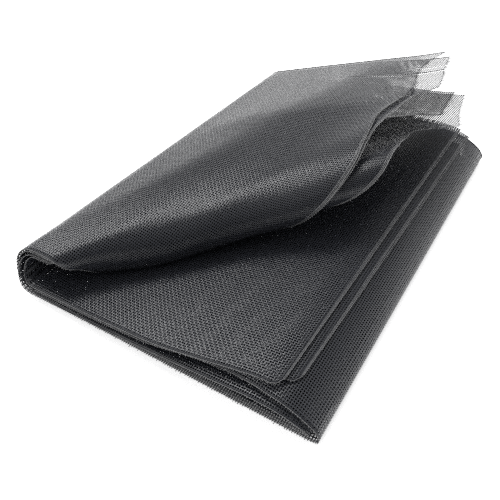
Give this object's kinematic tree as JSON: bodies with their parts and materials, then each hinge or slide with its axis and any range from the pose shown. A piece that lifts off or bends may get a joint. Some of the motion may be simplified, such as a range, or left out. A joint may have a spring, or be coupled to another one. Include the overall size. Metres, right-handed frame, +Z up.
{
  "type": "folded insect screen mesh",
  "caption": "Length of charcoal woven insect screen cloth, folded to and fro into a flat packet, with its top flap lifted and rolled under at the front corner and raw, frayed cut edges.",
  "frame": {"origin": "middle of the packet's box, on the surface that it lies on", "axes": "+X across the packet from its folded left wall towards the open side of the flap, +Y from the front cut edge to the back one, +Z up"},
  "size_m": [0.1982, 0.2634, 0.0769],
  "materials": {
    "coated_yarn": "charcoal plastic-coated yarn in an open plain weave, satin"
  },
  "bodies": {
    "root": {"screen_cloth": "coated_yarn"}
  },
  "joints": []
}
